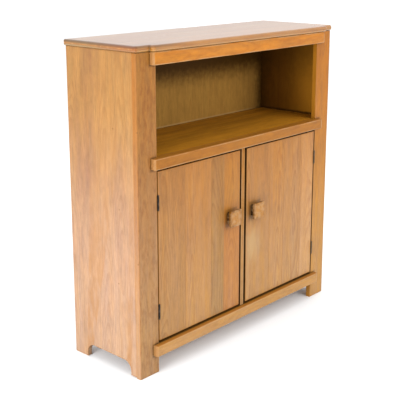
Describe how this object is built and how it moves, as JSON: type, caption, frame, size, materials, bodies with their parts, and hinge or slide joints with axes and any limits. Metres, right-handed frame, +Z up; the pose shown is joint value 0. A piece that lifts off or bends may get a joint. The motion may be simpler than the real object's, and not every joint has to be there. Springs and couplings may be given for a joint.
{
  "type": "console cabinet",
  "caption": "Wooden console cabinet with an open niche above a cupboard, inset hinged doors of upright boards, square wooden knobs, proud rails and a rounded top.",
  "frame": {"origin": "on the floor, under the middle of the overall box", "axes": "+Z up, +Y to the back, +X to the right as seen from the front"},
  "size_m": [1.032, 0.35, 1.08],
  "materials": {
    "case_wood": "waxed",
    "rail_wood": "waxed",
    "top_wood": "waxed",
    "door_wood": "waxed",
    "knob_wood": "waxed",
    "inside_wood": "bare",
    "back_wood": "bare",
    "hinge_steel": "darkened",
    "screw_steel": "dull",
    "strike_steel": "dull",
    "catch_block": "matt"
  },
  "bodies": {
    "carcass": {"back_panel": "back_wood", "back_panel_screws": "screw_steel", "bottom_rail": "rail_wood", "catch_screws": "screw_steel", "centre_partition": "inside_wood", "cupboard_floor": "inside_wood", "frame_hinge_screws": "screw_steel", "left_catch": "catch_block", "left_cupboard_shelf": "inside_wood", "left_front_stile": "case_wood", "left_lower_hinge_frame_leaf": "hinge_steel", "left_lower_hinge_pin": "hinge_steel", "left_side_panel": "case_wood", "left_top_batten": "inside_wood", "left_upper_hinge_frame_leaf": "hinge_steel", "left_upper_hinge_pin": "hinge_steel", "middle_rail": "rail_wood", "niche_shelf": "inside_wood", "right_catch": "catch_block", "right_cupboard_shelf": "inside_wood", "right_front_stile": "case_wood", "right_lower_hinge_frame_leaf": "hinge_steel", "right_lower_hinge_pin": "hinge_steel", "right_side_panel": "case_wood", "right_top_batten": "inside_wood", "right_upper_hinge_frame_leaf": "hinge_steel", "right_upper_hinge_pin": "hinge_steel", "top_batten_screws": "screw_steel", "top_board": "top_wood", "top_rail": "rail_wood"},
    "left_door": {"left_cleat_screws": "screw_steel", "left_door_board_1": "door_wood", "left_door_board_2": "door_wood", "left_door_board_3": "door_wood", "left_door_board_4": "door_wood", "left_door_hinge_screws": "screw_steel", "left_door_lower_cleat": "inside_wood", "left_door_upper_cleat": "inside_wood", "left_knob": "knob_wood", "left_knob_screw": "screw_steel", "left_lower_hinge_door_leaf": "hinge_steel", "left_strike": "strike_steel", "left_strike_screw": "screw_steel", "left_upper_hinge_door_leaf": "hinge_steel"},
    "right_door": {"right_cleat_screws": "screw_steel", "right_door_board_1": "door_wood", "right_door_board_2": "door_wood", "right_door_board_3": "door_wood", "right_door_board_4": "door_wood", "right_door_hinge_screws": "screw_steel", "right_door_lower_cleat": "inside_wood", "right_door_upper_cleat": "inside_wood", "right_knob": "knob_wood", "right_knob_screw": "screw_steel", "right_lower_hinge_door_leaf": "hinge_steel", "right_strike": "strike_steel", "right_strike_screw": "screw_steel", "right_upper_hinge_door_leaf": "hinge_steel"}
  },
  "joints": [
    {"name": "left_door_hinge", "type": "hinge", "parent": "carcass", "child": "left_door", "pos_m": [-0.424, -0.1515, 0.395], "axis": [0, 0, -1], "range_deg": [0, 180]},
    {"name": "right_door_hinge", "type": "hinge", "parent": "carcass", "child": "right_door", "pos_m": [0.424, -0.1515, 0.395], "axis": [0, 0, 1], "range_deg": [0, 180]}
  ]
}
